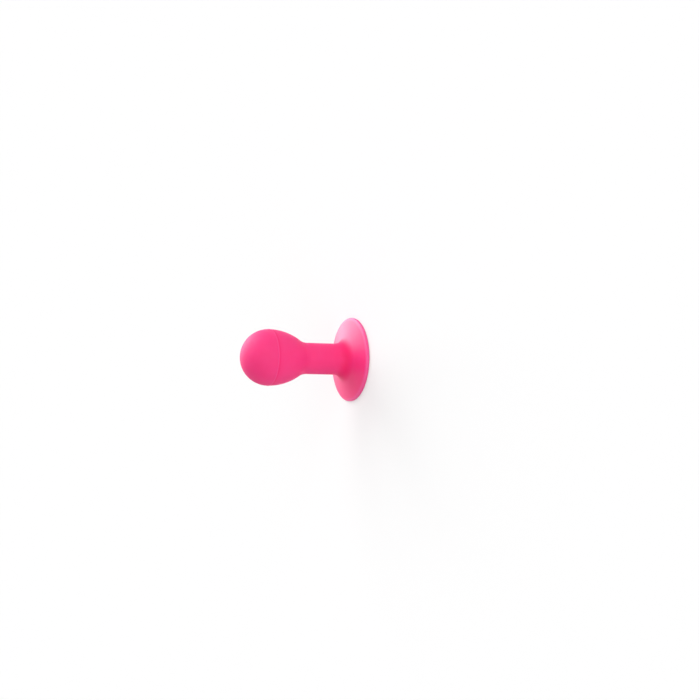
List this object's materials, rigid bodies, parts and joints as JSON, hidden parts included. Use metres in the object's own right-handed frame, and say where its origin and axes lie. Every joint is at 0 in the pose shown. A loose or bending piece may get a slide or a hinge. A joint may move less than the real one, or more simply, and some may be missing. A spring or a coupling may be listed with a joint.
{
  "type": "suction phone holder",
  "caption": "Soft one-piece phone holder: a hollow squeeze ball on a short stem that flares into a round suction cup, which grips a phone's flat back and props or carries it.",
  "frame": {"origin": "centre of the suction cup's rim plane, where the holder stands or meets a phone", "axes": "+Z along the stem's axis, from the cup to the ball; X and Y across the cup, alike in every direction"},
  "size_m": [0.0294, 0.0294, 0.0415],
  "materials": {
    "silicone": "soft matte hot-pink silicone, slightly translucent where it is thin"
  },
  "bodies": {
    "root": {"holder_body": "silicone"}
  },
  "joints": []
}
